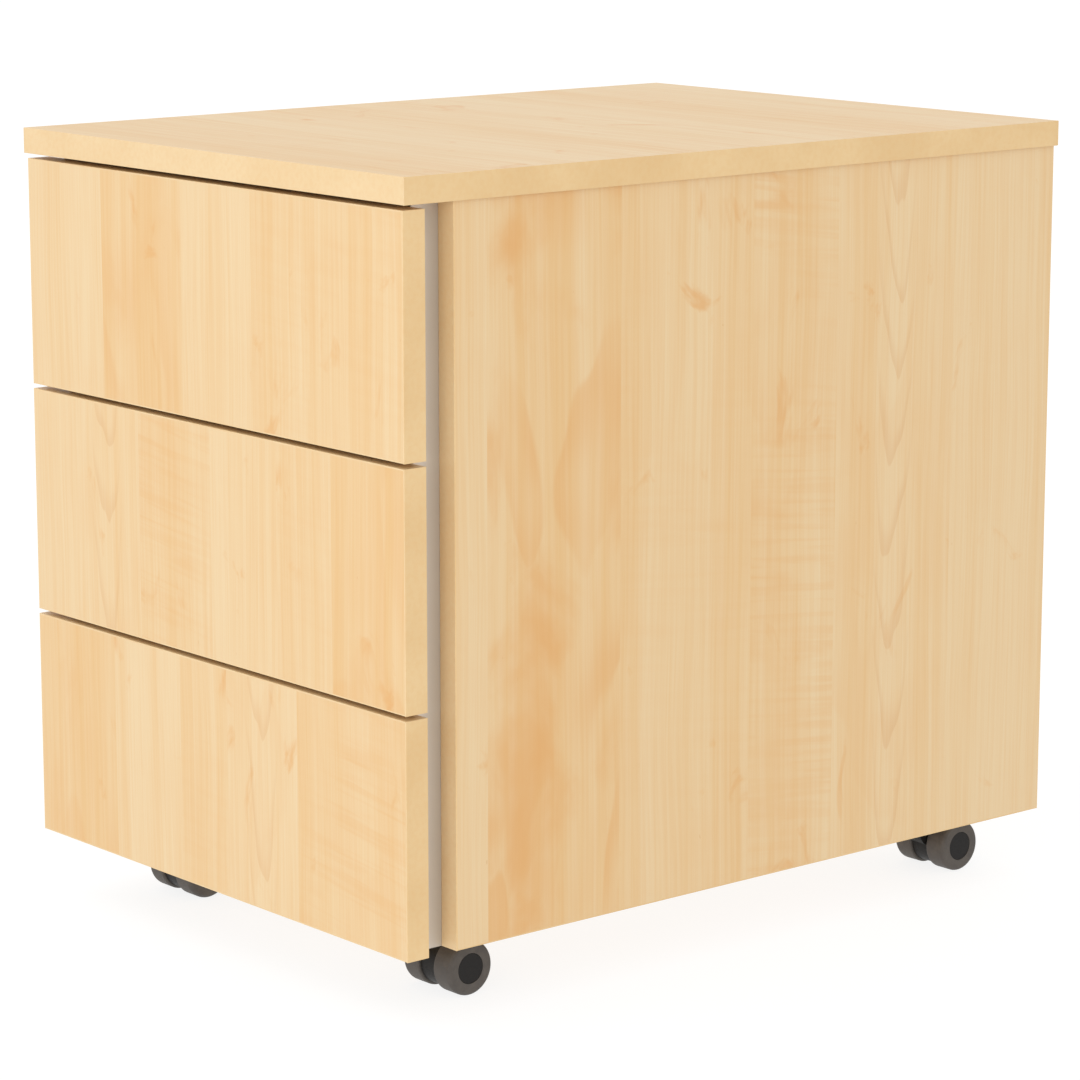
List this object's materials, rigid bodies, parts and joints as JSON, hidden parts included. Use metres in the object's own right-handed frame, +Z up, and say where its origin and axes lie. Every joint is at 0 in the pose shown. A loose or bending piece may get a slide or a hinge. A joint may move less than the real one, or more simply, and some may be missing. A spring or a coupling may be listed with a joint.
{
  "type": "rolling pedestal cabinet",
  "caption": "Low mobile pedestal with stacked full-width drawers pulled by side finger recesses, on swivelling twin-wheel casters.",
  "frame": {"origin": "on the floor under the centre of the top panel", "axes": "+X to the right seen from the front, +Y from the drawer fronts to the back, +Z up"},
  "size_m": [0.436, 0.6, 0.562],
  "materials": {
    "maple_board": "maple melamine face on particle board, satin",
    "edge_band": "plain maple-coloured edge band, satin",
    "grip_profile": "light grey, satin",
    "drawer_wall": "light grey melamine face, satin",
    "drawer_bottom": "light grey coated hardboard",
    "zinc_steel": "zinc plated",
    "caster_plastic": "moulded black plastic",
    "wheel_tread": "dark grey rubber, matt"
  },
  "bodies": {
    "cabinet": {"top_panel": "maple_board", "left_side_panel": "maple_board", "right_side_panel": "maple_board", "bottom_panel": "maple_board", "back_panel": "maple_board", "carcass_bands": "edge_band", "left_grip_profile": "grip_profile", "right_grip_profile": "grip_profile", "cam_fasteners": "zinc_steel", "cabinet_rails": "zinc_steel", "caster_plates": "zinc_steel", "screws": "zinc_steel"},
    "lower_drawer": {"lower_drawer_front": "maple_board", "lower_drawer_front_bands": "edge_band", "lower_drawer_left_wall": "drawer_wall", "lower_drawer_right_wall": "drawer_wall", "lower_drawer_back_wall": "drawer_wall", "lower_drawer_bottom": "drawer_bottom", "lower_drawer_inner_rails": "zinc_steel"},
    "lower_runner": {"lower_drawer_intermediate_rails": "zinc_steel"},
    "middle_drawer": {"middle_drawer_front": "maple_board", "middle_drawer_front_bands": "edge_band", "middle_drawer_left_wall": "drawer_wall", "middle_drawer_right_wall": "drawer_wall", "middle_drawer_back_wall": "drawer_wall", "middle_drawer_bottom": "drawer_bottom", "middle_drawer_inner_rails": "zinc_steel"},
    "middle_runner": {"middle_drawer_intermediate_rails": "zinc_steel"},
    "upper_drawer": {"upper_drawer_front": "maple_board", "upper_drawer_front_bands": "edge_band", "upper_drawer_left_wall": "drawer_wall", "upper_drawer_right_wall": "drawer_wall", "upper_drawer_back_wall": "drawer_wall", "upper_drawer_bottom": "drawer_bottom", "upper_drawer_inner_rails": "zinc_steel"},
    "upper_runner": {"upper_drawer_intermediate_rails": "zinc_steel"},
    "front_left_swivel": {"front_left_caster_housing": "caster_plastic", "front_left_caster_axle": "zinc_steel"},
    "front_left_left_wheel": {"front_left_caster_left_tread": "wheel_tread", "front_left_caster_left_hub": "caster_plastic"},
    "front_left_right_wheel": {"front_left_caster_right_tread": "wheel_tread", "front_left_caster_right_hub": "caster_plastic"},
    "front_right_swivel": {"front_right_caster_housing": "caster_plastic", "front_right_caster_axle": "zinc_steel"},
    "front_right_left_wheel": {"front_right_caster_left_tread": "wheel_tread", "front_right_caster_left_hub": "caster_plastic"},
    "front_right_right_wheel": {"front_right_caster_right_tread": "wheel_tread", "front_right_caster_right_hub": "caster_plastic"},
    "rear_left_swivel": {"rear_left_caster_housing": "caster_plastic", "rear_left_caster_axle": "zinc_steel"},
    "rear_left_left_wheel": {"rear_left_caster_left_tread": "wheel_tread", "rear_left_caster_left_hub": "caster_plastic"},
    "rear_left_right_wheel": {"rear_left_caster_right_tread": "wheel_tread", "rear_left_caster_right_hub": "caster_plastic"},
    "rear_right_swivel": {"rear_right_caster_housing": "caster_plastic", "rear_right_caster_axle": "zinc_steel"},
    "rear_right_left_wheel": {"rear_right_caster_left_tread": "wheel_tread", "rear_right_caster_left_hub": "caster_plastic"},
    "rear_right_right_wheel": {"rear_right_caster_right_tread": "wheel_tread", "rear_right_caster_right_hub": "caster_plastic"}
  },
  "joints": [
    {"name": "lower_drawer_slide", "type": "slide", "parent": "cabinet", "child": "lower_drawer", "axis": [0, -1, 0], "range_m": [0, 0.45]},
    {"name": "lower_runner_slide", "type": "slide", "parent": "cabinet", "child": "lower_runner", "axis": [0, -1, 0], "range_m": [0, 0.225]},
    {"name": "middle_drawer_slide", "type": "slide", "parent": "cabinet", "child": "middle_drawer", "axis": [0, -1, 0], "range_m": [0, 0.45]},
    {"name": "middle_runner_slide", "type": "slide", "parent": "cabinet", "child": "middle_runner", "axis": [0, -1, 0], "range_m": [0, 0.225]},
    {"name": "upper_drawer_slide", "type": "slide", "parent": "cabinet", "child": "upper_drawer", "axis": [0, -1, 0], "range_m": [0, 0.45]},
    {"name": "upper_runner_slide", "type": "slide", "parent": "cabinet", "child": "upper_runner", "axis": [0, -1, 0], "range_m": [0, 0.225]},
    {"name": "front_left_swivel_turn", "type": "hinge", "parent": "cabinet", "child": "front_left_swivel", "pos_m": [-0.1515, -0.2, 0.0386], "axis": [0, 0, 1], "continuous": true},
    {"name": "front_left_left_wheel_spin", "type": "hinge", "parent": "front_left_swivel", "child": "front_left_left_wheel", "pos_m": [-0.168, -0.215, 0.019], "axis": [1, 0, 0], "continuous": true},
    {"name": "front_left_right_wheel_spin", "type": "hinge", "parent": "front_left_swivel", "child": "front_left_right_wheel", "pos_m": [-0.135, -0.215, 0.019], "axis": [1, 0, 0], "continuous": true},
    {"name": "front_right_swivel_turn", "type": "hinge", "parent": "cabinet", "child": "front_right_swivel", "pos_m": [0.1515, -0.2, 0.0386], "axis": [0, 0, 1], "continuous": true},
    {"name": "front_right_left_wheel_spin", "type": "hinge", "parent": "front_right_swivel", "child": "front_right_left_wheel", "pos_m": [0.135, -0.215, 0.019], "axis": [1, 0, 0], "continuous": true},
    {"name": "front_right_right_wheel_spin", "type": "hinge", "parent": "front_right_swivel", "child": "front_right_right_wheel", "pos_m": [0.168, -0.215, 0.019], "axis": [1, 0, 0], "continuous": true},
    {"name": "rear_left_swivel_turn", "type": "hinge", "parent": "cabinet", "child": "rear_left_swivel", "pos_m": [-0.1515, 0.242, 0.0386], "axis": [0, 0, 1], "continuous": true},
    {"name": "rear_left_left_wheel_spin", "type": "hinge", "parent": "rear_left_swivel", "child": "rear_left_left_wheel", "pos_m": [-0.168, 0.257, 0.019], "axis": [1, 0, 0], "continuous": true},
    {"name": "rear_left_right_wheel_spin", "type": "hinge", "parent": "rear_left_swivel", "child": "rear_left_right_wheel", "pos_m": [-0.135, 0.257, 0.019], "axis": [1, 0, 0], "continuous": true},
    {"name": "rear_right_swivel_turn", "type": "hinge", "parent": "cabinet", "child": "rear_right_swivel", "pos_m": [0.1515, 0.242, 0.0386], "axis": [0, 0, 1], "continuous": true},
    {"name": "rear_right_left_wheel_spin", "type": "hinge", "parent": "rear_right_swivel", "child": "rear_right_left_wheel", "pos_m": [0.135, 0.257, 0.019], "axis": [1, 0, 0], "continuous": true},
    {"name": "rear_right_right_wheel_spin", "type": "hinge", "parent": "rear_right_swivel", "child": "rear_right_right_wheel", "pos_m": [0.168, 0.257, 0.019], "axis": [1, 0, 0], "continuous": true}
  ],
  "couplings": [
    {"joint": "lower_runner_slide", "follows": "lower_drawer_slide", "ratio": 0.5},
    {"joint": "middle_runner_slide", "follows": "middle_drawer_slide", "ratio": 0.5},
    {"joint": "upper_runner_slide", "follows": "upper_drawer_slide", "ratio": 0.5}
  ]
}
